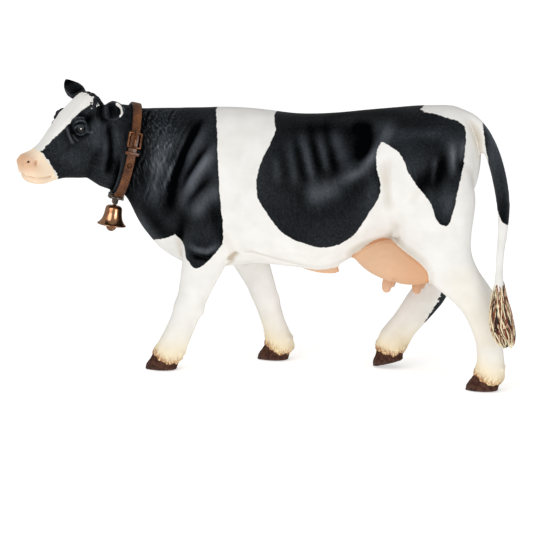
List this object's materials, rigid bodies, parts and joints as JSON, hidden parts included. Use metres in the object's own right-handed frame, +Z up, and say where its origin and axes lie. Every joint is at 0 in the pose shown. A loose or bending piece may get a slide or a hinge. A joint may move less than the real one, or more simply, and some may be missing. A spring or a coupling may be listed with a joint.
{
  "type": "cow figure",
  "caption": "Walking dairy cow figure with its head turned, standing on its hooves, with a buckled collar and a bell whose clapper swings.",
  "frame": {"origin": "under the middle of the figure's outside box, on the surface that its hooves stand on", "axes": "+Z up; -X the way the cow walks; -Y to the cow's left, the side that faces the viewer"},
  "size_m": [0.1374, 0.0476, 0.08],
  "materials": {
    "white_coat": "satin hand-painted white coat with black patches",
    "black_coat": "satin hand-painted black coat",
    "udder_pink": "satin hand-painted pink skin",
    "strap_leather": "smooth brown with a slight sheen",
    "fitting_brass": "worn satin",
    "bell_copper": "polished copper colour"
  },
  "bodies": {
    "figure": {"torso": "white_coat", "head": "black_coat", "ear_left": "black_coat", "ear_right": "black_coat", "fore_leg_left": "white_coat", "fore_leg_right": "white_coat", "hind_leg_left": "white_coat", "hind_leg_right": "white_coat", "udder": "udder_pink", "tail": "white_coat", "collar_strap": "strap_leather", "buckle_frame": "fitting_brass", "buckle_prong": "fitting_brass", "strap_keeper": "strap_leather", "collar_rivet": "fitting_brass", "bell_hanger": "fitting_brass", "bell_pin": "fitting_brass"},
    "bell": {"bell": "bell_copper", "clapper_pin": "bell_copper"},
    "clapper": {"clapper": "bell_copper"}
  },
  "joints": [
    {"name": "bell_swing", "type": "hinge", "parent": "figure", "child": "bell", "pos_m": [-0.0459, -0.00199, 0.04596], "axis": [0.4384, -0.8988, 0], "range_deg": [-40, 28]},
    {"name": "clapper_swing", "type": "hinge", "parent": "bell", "child": "clapper", "pos_m": [-0.04625, -0.00216, 0.04319], "axis": [0.4384, -0.8988, 0], "range_deg": [-20, 20]}
  ]
}
